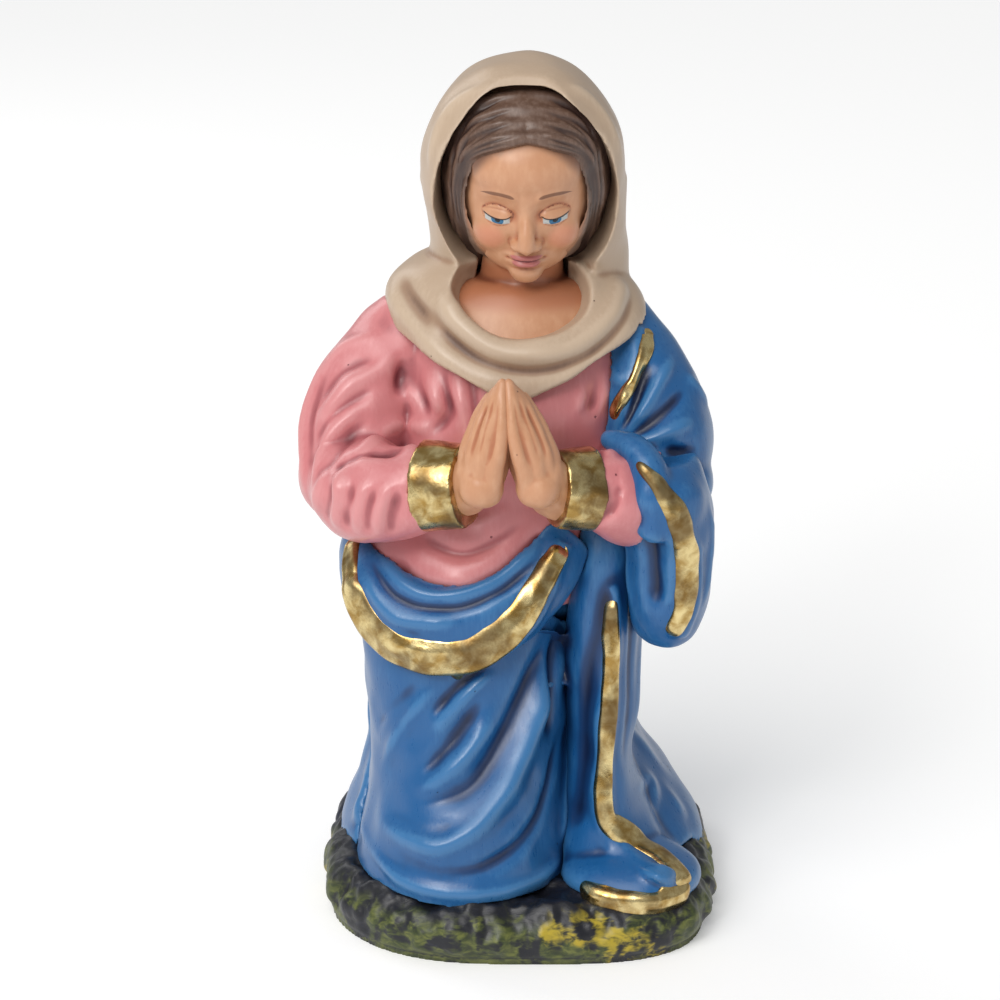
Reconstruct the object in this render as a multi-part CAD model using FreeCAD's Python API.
"""Kneeling Madonna: a small painted plaster figure for a crib scene or a home altar.

The figure kneels upright on a low piece of rocky ground with its hands joined in prayer.
It faces -Y. +X is its own left side, and +Z is up.
The origin is on the resting face, under the middle of the figure.
The real one is a single casting. Here each modelled element is a solid of its own: the inner
elements keep their full shape, and each outer one is cut to meet what lies under it.
All sizes are in millimetres. A station is (height, x, y, half width, half depth).
"""

import math
import os

import FreeCAD
import Part

Vec = FreeCAD.Vector

# ---- driving dimensions ------------------------------------------------------------------
stature = 131.0             # top of the ground to the crown of the veil
base_height = 9.0           # resting face to the top of the ground
base_half_width = 32.2      # ground block, side to side
base_half_depth = 34.0      # ground block, front to back
base_belly_height = 2.6     # height at which the ground block is widest
base_foot_share = 0.955     # outline at the resting face, against the widest outline
base_top_share = 0.89       # outline at the top of the ground, against the widest outline

sleeve_upper_radius = 9.2   # sleeve round the upper arm
sleeve_elbow_radius = 9.6   # sleeve round the elbow
sleeve_fore_radius = 7.6    # sleeve half way along the forearm
sleeve_end_radius = 6.0     # sleeve where it enters the cuff
forearm_bow_right = 4.8     # how far the right forearm bows out in front of a straight line
forearm_bow_left = 3.4      # the same for the left forearm
cuff_proud = 0.55           # how far a cuff stands out from its sleeve
cuff_length = 6.6           # a cuff, along the forearm
wrist_radius = 4.0          # wrist inside the cuff
palm_half_width = 5.2       # joined hand, across the palm
palm_half_thickness = 3.0   # joined hand, through the palm
fingertip_radius = 1.5      # the end of the joined fingers

head_half_width = 11.6      # skull and face, side to side
head_half_depth = 12.6      # skull and face, front to back
head_half_height = 14.2     # skull and face, chin to crown
head_tilt = 17.0            # degrees that the face looks down
neck_radius = 7.2           # neck under the jaw
hair_thickness = 1.5        # hair over the skull
hood_thickness = 2.6        # veil over the hair
hood_gap = 0.7              # free space between the hood's front edge and the hair
hood_front = -17.0          # front edge of the hood over the brow
hood_lean = -18.0           # degrees that the hood's front edge leans back from the brow down

border_width = 4.2          # gold border on the mantle, across the band
border_thickness = 2.2      # gold border on the mantle, through the band
border_sunk = 1.5           # how deep a border is let into the cloth under it


def level(share):
    """Height of a body level that lies at this share of the stature."""
    return base_height + share * stature


# ---- body levels and places --------------------------------------------------------------
knee_level = level(0.10)
thigh_level = level(0.24)
swag_level = level(0.345)
hip_level = level(0.38)
waist_level = level(0.43)
elbow_level = level(0.49)
chest_level = level(0.58)
armpit_level = level(0.62)
shoulder_level = level(0.685)
neck_level = level(0.725)
crown_level = level(1.0)

head_centre = Vec(1.0, -6.2, crown_level - hood_thickness - hair_thickness - head_half_height - 0.4)
chin_level = head_centre.z - head_half_height + 0.5
wrist_right = Vec(-12.6, -23.4, elbow_level + 3.4)
wrist_left = Vec(11.0, -23.4, elbow_level + 3.0)
elbow_right = Vec(-25.4, -7.0, elbow_level)
elbow_left = Vec(18.4, -11.0, elbow_level - 0.6)
fingertips = Vec(-0.8, -25.0, elbow_level + 21.6)

OVAL_POINTS = 12            # points that shape one section
CLEAR = 60.0                # reach of a cutting body, past everything
border_step = 5.0           # spacing of a border's sections


# ---- modelling helpers -------------------------------------------------------------------
def ring(centre, across, along, half_across, half_along, squareness=2.0):
    """Closed smooth wire round a centre, an oval in the plane of two unit vectors."""
    points = []
    for k in range(OVAL_POINTS):
        turn = 2.0 * math.pi * k / OVAL_POINTS
        c, s = math.cos(turn), math.sin(turn)
        u = math.copysign(abs(c) ** (2.0 / squareness), c) * half_across
        v = math.copysign(abs(s) ** (2.0 / squareness), s) * half_along
        points.append(centre + across * u + along * v)
    curve = Part.BSplineCurve()
    curve.interpolate(Points=points, PeriodicFlag=True)
    return Part.Wire([curve.toShape()])


def outward(solid):
    """The solid with its faces pointing out, which a loft run the other way round has not."""
    if solid.Volume < 0:
        solid.reverse()
    return solid


def standing(stations, squareness=2.0):
    """Solid through level sections, from the lowest station to the highest."""
    wires = [
        ring(Vec(x, y, z), Vec(1, 0, 0), Vec(0, 1, 0), half_x, half_y, squareness)
        for z, x, y, half_x, half_y in stations
    ]
    return outward(Part.makeLoft(wires, True, False))


def ways(points):
    """Unit direction of a bent line at each of its points."""
    last = len(points) - 1
    return [(points[min(k + 1, last)] - points[max(k - 1, 0)]).normalize() for k in range(last + 1)]


def limb(points, radii, flat=1.0):
    """Solid round a bent line: a section at each point, square to the line. flat stretches it in height."""
    wires = []
    side = ways(points)[0].cross(Vec(0, 0, 1)).normalize()
    for point, way, radius in zip(points, ways(points), radii):
        side = (side - way * side.dot(way)).normalize()
        rise = side.cross(way).normalize()
        wires.append(ring(point, side, rise, radius, radius * flat))
    return outward(Part.makeLoft(wires, True, False))


def ball(centre, half_x, half_y, half_z, tilt=0.0):
    """Ellipsoid, leaning forward by tilt degrees about its own centre."""
    matrix = FreeCAD.Matrix()
    matrix.scale(half_x, half_y, half_z)
    solid = Part.makeSphere(1.0).transformGeometry(matrix)
    solid.rotate(Vec(0, 0, 0), Vec(1, 0, 0), tilt)
    solid.translate(centre)
    return solid


def largest(shape):
    """The biggest solid of a cut, which drops crumbs that a tangent cut can leave."""
    return max(shape.Solids, key=lambda solid: solid.Volume)


def less(shape, *inner):
    """The shape with everything that lies under it taken out."""
    for other in inner:
        shape = largest(shape.cut(other))
    return shape


def fused(*shapes):
    """One solid out of shapes that run into each other."""
    return largest(shapes[0].multiFuse(list(shapes[1:])).removeSplitter())


# ---- ground ------------------------------------------------------------------------------
def outline(share, height):
    """The ground's outline: a block with well rounded corners."""
    points = []
    for k in range(16):
        turn = 2.0 * math.pi * k / 16
        c, s = math.cos(turn), math.sin(turn)
        squareness = 3.1
        x = math.copysign(abs(c) ** (2.0 / squareness), c) * base_half_width
        y = math.copysign(abs(s) ** (2.0 / squareness), s) * base_half_depth
        points.append(Vec(x * share, y * share, height))
    curve = Part.BSplineCurve()
    curve.interpolate(Points=points, PeriodicFlag=True)
    return Part.Wire([curve.toShape()])


def make_ground():
    wires = [
        outline(base_foot_share, 0.0),
        outline(1.0, base_belly_height),
        outline(base_top_share, base_height),
    ]
    return Part.makeLoft(wires, True, False)


# ---- tunic -------------------------------------------------------------------------------
def make_torso():
    return standing([
        (thigh_level, -5.5, -1.0, 16.0, 15.0),
        (swag_level, -6.5, -2.5, 19.0, 17.5),
        (waist_level, -6.0, -3.0, 19.6, 17.6),
        (elbow_level, -4.0, -2.2, 19.8, 16.2),
        (chest_level, -1.6, -1.2, 19.6, 16.2),
        (armpit_level, -1.0, -0.6, 19.4, 15.4),
        (shoulder_level, -0.4, 0.4, 17.2, 12.4),
        (neck_level, 0.2, 0.6, 9.4, 9.0),
    ])


def forearm_line(elbow, wrist, bow):
    """Points from the elbow to the wrist, bowed out round the body so that the cuff faces its fellow."""
    middle = (elbow + wrist) * 0.5 + Vec(math.copysign(bow * 0.4, elbow.x), -bow, -0.8)
    return [elbow, middle, wrist]


def make_sleeve_right(torso):
    shoulder = Vec(-15.0, 0.4, shoulder_level - 2.6)
    upper = limb(
        [shoulder, Vec(-21.2, -1.6, armpit_level - 2.2), Vec(-24.6, -4.6, elbow_level + 8.0), elbow_right],
        [sleeve_upper_radius - 1.6, sleeve_upper_radius, sleeve_elbow_radius, sleeve_elbow_radius - 0.6],
    )
    bend = ball(elbow_right, sleeve_elbow_radius, sleeve_elbow_radius, sleeve_elbow_radius - 0.8)
    fore = limb(
        forearm_line(elbow_right, wrist_right, forearm_bow_right),
        [sleeve_elbow_radius - 1.2, sleeve_fore_radius + 0.2, sleeve_end_radius],
    )
    return less(fused(upper, bend, fore), torso)


def make_sleeve_left(torso):
    fore = limb(
        forearm_line(elbow_left, wrist_left, forearm_bow_left),
        [sleeve_fore_radius + 0.6, sleeve_fore_radius - 0.4, sleeve_end_radius - 0.3],
    )
    bend = ball(elbow_left, sleeve_fore_radius + 0.9, sleeve_fore_radius + 0.9, sleeve_fore_radius)
    return less(fused(fore, bend), torso)


# ---- cuffs and hands ---------------------------------------------------------------------
def make_cuff(line, inner_radius):
    """Band round the end of a sleeve, bell-mouthed towards the hand."""
    wrist = line[2]
    way = (line[2] - line[1]).normalize()
    radii = [inner_radius + cuff_proud, inner_radius + 0.6 * cuff_proud, inner_radius + 1.3 * cuff_proud]
    start = wrist - way * (cuff_length * 0.62)
    points = [start, start + way * (cuff_length * 0.5), start + way * cuff_length]
    return limb(points, radii)


def make_hand_right():
    """Palm and closed fingers as one leaning blade, and the wrist that enters the cuff."""
    tip, thick, wide = fingertips, palm_half_thickness, palm_half_width
    stations = [
        (tip + Vec(-6.4, -3.6, -20.4), thick * 0.66, wide * 0.6),
        (tip + Vec(-5.8, -4.4, -15.0), thick, wide),
        (tip + Vec(-3.4, -3.4, -8.6), thick, wide * 0.94),
        (tip + Vec(-1.9, -1.6, -3.6), fingertip_radius * 1.3, fingertip_radius * 2.3),
        (tip + Vec(-1.0, 0, 0), fingertip_radius * 0.6, fingertip_radius),
    ]
    wires = [ring(point, Vec(1, 0, 0), Vec(0, 1, 0), half_x, half_y) for point, half_x, half_y in stations]
    blade = outward(Part.makeLoft(wires, True, False))
    palm = stations[1][0]
    reach = (palm - wrist_right).normalize()
    root = limb([wrist_right - reach * 2.0, palm + reach * 0.4], [wrist_radius, wrist_radius * 0.68])
    return fused(blade, root)


def make_hand_left(hand_right):
    """The other hand: the mirror image across the joined fingertips."""
    return hand_right.mirror(fingertips, Vec(1, 0, 0)).Solids[0]


# ---- head and veil -----------------------------------------------------------------------
def make_head():
    skull = ball(head_centre, head_half_width, head_half_depth, head_half_height, head_tilt)
    neck = limb(
        [Vec(0.2, 0.4, neck_level - 4.0), Vec(0.5, -2.0, chin_level - 2.0), Vec(0.8, -4.6, chin_level + 5.0)],
        [neck_radius + 1.4, neck_radius, neck_radius],
    )
    return fused(skull, neck)


def make_hair(head):
    thick = hair_thickness
    cap = ball(
        head_centre + Vec(0, 1.6, 0.2),
        head_half_width + thick, head_half_depth + thick - 0.6, head_half_height + thick, head_tilt,
    )
    face = ball(
        head_centre + Vec(0, -head_half_depth, -3.2),
        head_half_width - 1.6, head_half_depth, head_half_height - 3.0, head_tilt,
    )
    low = Part.makeBox(2 * CLEAR, 2 * CLEAR, CLEAR, Vec(-CLEAR, -CLEAR, chin_level - CLEAR + 1.0))
    return less(cap, head, face, low)


def make_hood(head, hair, torso):
    """Veil over the head, open round the face, and down to the shoulders behind."""
    crown = ball(Vec(0.6, -3.4, crown_level - 18.0), 15.9, 16.8, 18.0)
    drape = standing([
        (neck_level - 2.0, 0.8, 3.0, 16.6, 11.6),
        (neck_level + 3.0, 1.4, 1.6, 15.8, 12.6),
        (chin_level + 4.0, 1.4, -0.6, 15.4, 14.4),
        (chin_level + 13.0, 0.6, -2.4, 16.2, 15.2),
    ])
    half_wide = head_half_width + hair_thickness + hood_gap
    face_level = chin_level + 10.6
    tunnel = limb(
        [Vec(1.0, -CLEAR * 0.5, face_level - 4.0), Vec(1.0, -8.0, face_level), Vec(1.0, -2.0, face_level + 1.0)],
        [half_wide, half_wide, half_wide * 0.9],
        flat=1.04,
    )
    throat = ball(Vec(1.0, -12.0, chin_level - 4.6), half_wide - 2.0, 13.0, 14.0)
    front = Part.makeBox(2 * CLEAR, CLEAR, 2 * CLEAR, Vec(-CLEAR, -CLEAR, -CLEAR))
    front.rotate(Vec(0, 0, 0), Vec(1, 0, 0), hood_lean)
    front.translate(Vec(0, hood_front, crown_level - 12.0))
    return less(fused(drape, crown), tunnel, throat, front, hair, head, torso)


def make_collar(torso, *inner):
    """Veil laid round the neck and over both shoulders, with a pointed front."""
    cape = standing([
        (armpit_level - 1.4, -0.8, -1.2, 20.4, 17.4),
        (armpit_level + 3.4, -0.6, -1.0, 21.0, 17.4),
        (shoulder_level, -0.4, -0.6, 21.0, 15.6),
        (shoulder_level + 3.6, -1.2, -0.6, 19.8, 13.8),
        (neck_level + 1.6, -1.6, 0.0, 17.0, 12.2),
        (neck_level + 3.6, -1.6, 0.4, 13.2, 10.6),
    ])
    throat = ball(Vec(0.4, -12.6, neck_level + 0.8), 11.0, 12.0, 7.6)
    edge_low, edge_side = armpit_level - 1.6, shoulder_level - 0.4
    below = Part.makePolygon([
        Vec(-CLEAR, -CLEAR, -CLEAR), Vec(-CLEAR, -CLEAR, edge_side + 2.0), Vec(-22.0, -CLEAR, edge_side),
        Vec(-2.4, -CLEAR, edge_low), Vec(1.6, -CLEAR, edge_low), Vec(21.0, -CLEAR, edge_side),
        Vec(CLEAR, -CLEAR, edge_side + 2.0), Vec(CLEAR, -CLEAR, -CLEAR), Vec(-CLEAR, -CLEAR, -CLEAR),
    ])
    under = Part.Face(below).extrude(Vec(0, 2 * CLEAR, 0))
    return less(cape, under, throat, torso, *inner)


# ---- mantle ------------------------------------------------------------------------------
def make_skirt():
    """Mantle over the thighs and knees, from the swag down to the ground in front."""
    return standing([
        (base_height * 0.55, -8.6, -9.4, 17.6, 21.4),
        (base_height + 3.0, -8.8, -9.6, 17.4, 21.2),
        (knee_level, -8.4, -9.0, 16.0, 19.6),
        (thigh_level - 6.0, -8.2, -8.0, 16.2, 16.6),
        (swag_level - 8.0, -8.6, -7.0, 16.8, 15.8),
        (swag_level + 2.0, -8.2, -5.0, 16.8, 15.6),
    ])


def make_mantle_back():
    """Mantle down the back and out over the lower legs, to the edge of the ground."""
    return standing([
        (base_belly_height + 1.0, 0.6, 3.0, 31.2, 30.4),
        (base_height + 1.6, 0.2, 4.4, 29.6, 27.4),
        (knee_level + 2.0, -1.6, 6.4, 23.4, 21.4),
        (thigh_level, -2.6, 5.0, 21.6, 17.4),
        (hip_level, -1.8, 3.2, 23.2, 16.4),
        (elbow_level + 2.0, -0.6, 2.8, 23.2, 15.4),
        (armpit_level, 0.4, 3.4, 22.4, 13.6),
        (shoulder_level + 1.0, 0.4, 4.6, 18.6, 9.8),
    ])


def make_mantle_side():
    """Mantle falling beside the left thigh, with its corner spread on the ground in front."""
    fall = standing([
        (base_height + 1.0, 15.0, -9.0, 11.6, 15.4),
        (knee_level - 4.0, 14.0, -8.0, 7.4, 13.2),
        (thigh_level, 13.2, -6.4, 6.4, 12.2),
        (hip_level, 13.0, -5.0, 6.8, 12.4),
        (waist_level + 2.0, 13.4, -4.0, 7.2, 11.0),
    ])
    corner = ball(Vec(18.0, -19.4, base_height + 0.8), 11.4, 10.6, 5.0)
    return fused(fall, corner)


def make_swag():
    """Folded edge of the mantle, drawn across the hips from the right side up to the left hip."""
    points = [
        Vec(-24.0, 2.0, waist_level + 1.0), Vec(-23.6, -8.0, hip_level - 1.0),
        Vec(-17.6, -17.6, swag_level - 0.4), Vec(-8.0, -21.0, swag_level - 0.8),
        Vec(0.6, -19.4, swag_level + 3.4), Vec(7.4, -14.4, waist_level + 0.6),
    ]
    return limb(points, [4.4, 5.4, 5.6, 5.2, 4.6, 3.6], flat=1.35)


def make_mantle_shoulder():
    """Mantle over the left shoulder and round the upper arm, down to the crook of the elbow."""
    points = [
        Vec(12.0, 0.6, shoulder_level - 2.0), Vec(16.6, -1.6, armpit_level - 0.6),
        Vec(20.6, -4.8, elbow_level + 8.0), Vec(21.4, -8.0, elbow_level),
    ]
    upper = limb(points, [8.0, 9.2, 9.9, 8.8])
    bend = ball(Vec(21.2, -7.6, elbow_level - 0.6), 9.7, 9.6, 8.4)
    return fused(upper, bend)


def make_flap():
    """Loose end of the mantle that hangs from the forearm."""
    return standing([
        (swag_level - 6.4, 23.2, -15.0, 2.8, 3.4),
        (swag_level - 4.0, 23.4, -15.0, 5.0, 5.4),
        (hip_level, 23.8, -15.2, 6.6, 7.6),
        (waist_level + 3.0, 23.4, -16.0, 7.2, 9.4),
        (elbow_level + 1.0, 22.2, -16.8, 7.4, 10.6),
        (elbow_level + 6.0, 21.2, -14.4, 6.2, 9.0),
    ])


# ---- gold borders ------------------------------------------------------------------------
def seat(x, z, cloth):
    """Foremost point of the cloth at this x and height."""
    probe = Part.LineSegment(Vec(x, -CLEAR, z), Vec(x, 0.0, z)).toShape()
    hits = [probe.common(solid) for solid in cloth]
    return Vec(x, min(hit.BoundBox.YMin for hit in hits if hit.Edges), z)


def way_out(here, cloth):
    """Unit direction out of the cloth at a seat, from two more seats a short step away."""
    step = 0.8
    beside = seat(here.x - step, here.z, cloth) - here
    above = seat(here.x, here.z + step, cloth) - here
    return above.cross(beside).normalize()


def make_border(stations, cloth):
    """Gold band let into the cloth. A station is (x, height, share of the full width)."""
    line = Part.BSplineCurve()
    line.interpolate([Vec(x, share, z) for x, z, share in stations])
    spaced = line.discretize(Number=max(4, round(line.length() / border_step)))
    points = [seat(spot.x, spot.z, cloth) for spot in spaced]
    wires = []
    for point, way, spot in zip(points, ways(points), spaced):
        across = way.cross(way_out(point, cloth)).normalize()
        normal = across.cross(way).normalize()
        centre = point + normal * (border_thickness * 0.5 - border_sunk)
        half_width = spot.y * border_width * 0.5
        wires.append(ring(centre, across, normal, half_width, border_thickness * 0.5, 2.6))
    return outward(Part.makeLoft(wires, True, False))


def make_border_shoulder(*cloth):
    """Along the mantle's front edge, from the collar down to the crook of the arm."""
    return make_border([
        (18.4, shoulder_level - 1.0, 0.8),
        (17.4, armpit_level + 2.6, 0.9),
        (15.4, chest_level + 4.4, 0.8),
    ], cloth)


def make_border_swag(*cloth):
    """Along the lower edge of the swag, up to the left hip."""
    return make_border([
        (-26.0, hip_level, 0.8),
        (-23.0, swag_level - 3.4, 1.15),
        (-14.0, swag_level - 4.6, 1.25),
        (-6.0, swag_level - 4.0, 1.25),
        (0.6, swag_level - 0.2, 1.15),
        (4.6, hip_level + 2.0, 1.0),
        (7.0, waist_level + 0.4, 0.8),
    ], cloth)


def make_border_flap(*cloth):
    """Along the hanging end, from the crook of the elbow to the lower tip."""
    return make_border([
        (19.0, elbow_level + 4.0, 0.5),
        (22.2, elbow_level - 1.0, 0.9),
        (26.0, waist_level + 1.4, 1.0),
        (26.8, hip_level + 0.6, 1.0),
        (24.8, swag_level - 3.6, 0.8),
    ], cloth)


def make_border_front(*cloth):
    """Down the mantle's front edge beside the thigh, and out over its corner on the ground."""
    return make_border([
        (14.8, hip_level - 1.0, 0.5),
        (14.4, thigh_level, 0.8),
        (13.4, knee_level + 1.0, 0.9),
        (15.0, base_height + 7.2, 0.9),
        (19.8, base_height + 4.8, 0.9),
        (25.0, base_height + 2.8, 0.9),
    ], cloth)


def make_border_hem(*cloth):
    """Along the mantle's bottom hem on the ground, under the corner."""
    return make_border([
        (26.4, base_height - 0.6, 0.8),
        (21.4, base_height - 0.8, 1.0),
        (16.0, base_height - 0.4, 1.0),
        (11.0, base_height + 0.6, 0.7),
    ], cloth)


def main():
    os.makedirs("parts", exist_ok=True)
    ground = make_ground()
    torso = make_torso()
    head = less(make_head(), torso)
    hair = make_hair(head)
    hood = make_hood(head, hair, torso)
    hand_right = make_hand_right()
    hand_left = less(make_hand_left(hand_right), hand_right)
    cuff_right = less(make_cuff(forearm_line(elbow_right, wrist_right, forearm_bow_right), sleeve_end_radius), hand_right, torso)
    cuff_left = less(
        make_cuff(forearm_line(elbow_left, wrist_left, forearm_bow_left), sleeve_end_radius - 0.3),
        hand_left, torso,
    )
    sleeve_right = less(make_sleeve_right(torso), cuff_right, hand_right)
    sleeve_left = less(make_sleeve_left(torso), cuff_left, hand_left)

    skirt, swag, side = make_skirt(), make_swag(), make_mantle_side()
    shoulder, flap = make_mantle_shoulder(), make_flap()
    border_shoulder = make_border_shoulder(shoulder)
    border_swag = make_border_swag(swag)
    border_flap = make_border_flap(flap, shoulder)
    sleeve_left = less(sleeve_left, border_flap, flap)
    border_front = make_border_front(side)
    border_hem = less(make_border_hem(side), border_front, ground)

    mantle_shoulder = less(shoulder, torso, border_shoulder, border_flap, sleeve_left, cuff_left, hood)
    collar = make_collar(torso, head, hood, sleeve_right, border_shoulder, mantle_shoulder)
    mantle_skirt = less(skirt, ground, torso, border_swag)
    mantle_swag = less(swag, border_swag, torso, mantle_skirt, sleeve_right)
    mantle_side = less(
        side, border_front, border_hem, ground, torso, mantle_skirt, border_swag, mantle_swag, sleeve_left,
        cuff_left, mantle_shoulder,
    )
    mantle_flap = less(flap, border_flap, torso, sleeve_left, cuff_left, mantle_shoulder, mantle_side)
    mantle_back = less(
        make_mantle_back(), ground, torso, mantle_skirt, mantle_swag, mantle_side, mantle_shoulder,
        sleeve_right, sleeve_left, mantle_flap, collar, hood, head,
    )
    pieces = {
        "ground_base": ground,
        "tunic_torso": torso,
        "tunic_sleeve_right": sleeve_right,
        "tunic_sleeve_left": sleeve_left,
        "cuff_right": cuff_right,
        "cuff_left": cuff_left,
        "hand_right": hand_right,
        "hand_left": hand_left,
        "head": head,
        "hair": hair,
        "veil_hood": hood,
        "veil_collar": collar,
        "mantle_skirt": mantle_skirt,
        "mantle_swag": mantle_swag,
        "mantle_side": mantle_side,
        "mantle_shoulder": mantle_shoulder,
        "mantle_flap": mantle_flap,
        "mantle_back": mantle_back,
        "border_shoulder": border_shoulder,
        "border_swag": border_swag,
        "border_flap": border_flap,
        "border_front": border_front,
        "border_hem": border_hem,
    }
    for name, solid in pieces.items():
        print(name, "valid" if solid.isValid() else "BROKEN", round(solid.Volume, 1), len(solid.Faces))
        solid.exportStep(os.path.join("parts", name + ".step"))


main()
